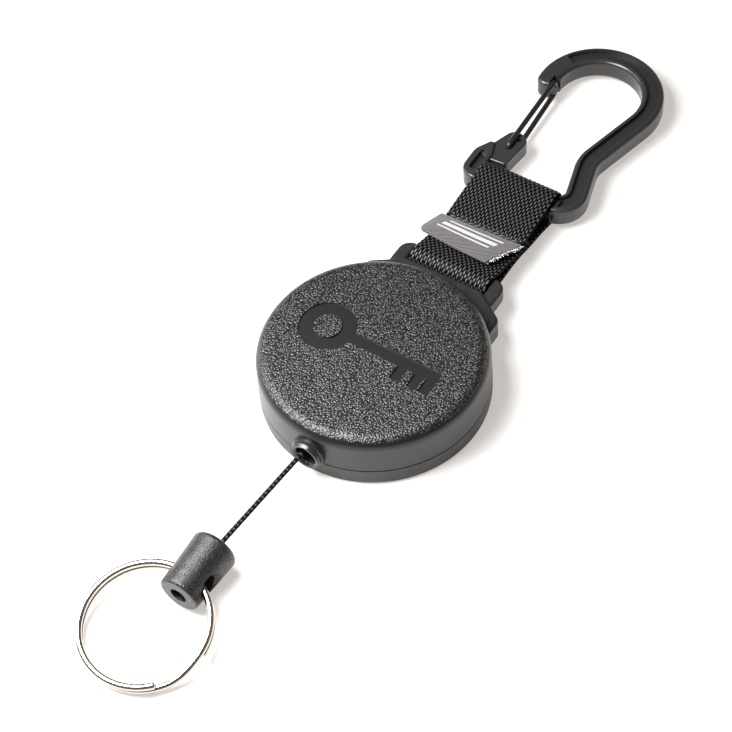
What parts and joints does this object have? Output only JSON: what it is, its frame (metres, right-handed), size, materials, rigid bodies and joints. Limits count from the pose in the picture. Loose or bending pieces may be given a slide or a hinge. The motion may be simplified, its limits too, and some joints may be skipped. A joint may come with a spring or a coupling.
{
  "type": "retractable key reel",
  "caption": "Round retractable key reel: sprung spool and cord in a two-shell case, cone stop with split ring, webbing strap and wire-gate carabiner.",
  "frame": {"origin": "centre of the case's flat back face, on the surface that the reel lies on", "axes": "+Z out through the case's face, +Y from the case towards the carabiner, cord leaves towards -Y, +X completes a right-handed frame"},
  "size_m": [0.0508, 0.2013, 0.0144],
  "materials": {
    "grained_plastic": "coarse moulded grain",
    "satin_plastic": "satin",
    "eyelet_metal": "dark satin",
    "plain_steel": "ground",
    "spool_plastic": "natural acetal",
    "bush_brass": "turned",
    "washer_nylon": "plain",
    "spring_steel": "blued strip",
    "cord_braid": "tight braid",
    "stop_plastic": "eggshell",
    "nickel_wire": "bright nickel",
    "webbing": "woven webbing",
    "thread": "sewing thread",
    "woven_label": "woven damask",
    "clip_plastic": "semi-gloss",
    "black_wire": "black coated wire"
  },
  "bodies": {
    "case": {"front_shell": "grained_plastic", "back_shell": "satin_plastic", "cord_eyelet": "eyelet_metal", "arbor": "plain_steel", "thrust_washers": "washer_nylon", "power_spring": "spring_steel"},
    "spool": {"spool": "spool_plastic", "spool_bush": "bush_brass", "spring_cover": "spool_plastic", "cord_wound": "cord_braid", "cord_anchor_knot": "cord_braid"},
    "cord_end": {"cord_free": "cord_braid", "cord_knot": "cord_braid"},
    "stop": {"cord_stop": "stop_plastic"},
    "key_ring": {"split_ring": "nickel_wire"},
    "strap": {"webbing_strap": "webbing", "strap_stitches": "thread", "label": "woven_label"},
    "carabiner": {"carabiner_body": "clip_plastic"},
    "gate": {"wire_gate": "black_wire"}
  },
  "joints": [
    {"name": "cord_pull", "type": "slide", "parent": "case", "child": "cord_end", "axis": [0, -1, 0], "range_m": [-0.024, 0.87], "stiffness_N_per_m": 2, "deforming": ["cord_free"]},
    {"name": "spool_spin", "type": "hinge", "parent": "case", "child": "spool", "pos_m": [0, 0, 0.0072], "axis": [0, 0, 1], "range_deg": [-80, 2700], "deforming": ["power_spring"]},
    {"name": "stop_swivel", "type": "hinge", "parent": "cord_end", "child": "stop", "pos_m": [-0.00405, -0.06, 0.00515], "axis": [0, 1, 0], "continuous": true},
    {"name": "ring_swing", "type": "hinge", "parent": "stop", "child": "key_ring", "pos_m": [-0.00405, -0.0621, 0.00515], "axis": [1, 0, 0], "range_deg": [-110, 110]},
    {"name": "strap_swing", "type": "hinge", "parent": "case", "child": "strap", "pos_m": [0, 0.0324, 0.006], "axis": [1, 0, 0], "range_deg": [-100, 90]},
    {"name": "carabiner_swing", "type": "hinge", "parent": "strap", "child": "carabiner", "pos_m": [0, 0.0607, 0.0044], "axis": [1, 0, 0], "range_deg": [-90, 90]},
    {"name": "gate_swing", "type": "hinge", "parent": "carabiner", "child": "gate", "pos_m": [-0.008, 0.0707, 0.0044], "axis": [0, 0, 1], "range_deg": [-40, 0], "stiffness_Nm_per_rad": 0.02, "springref_deg": 8.59}
  ],
  "couplings": [
    {"joint": "spool_spin", "follows": "cord_pull", "rad_per_m": 51.68}
  ]
}
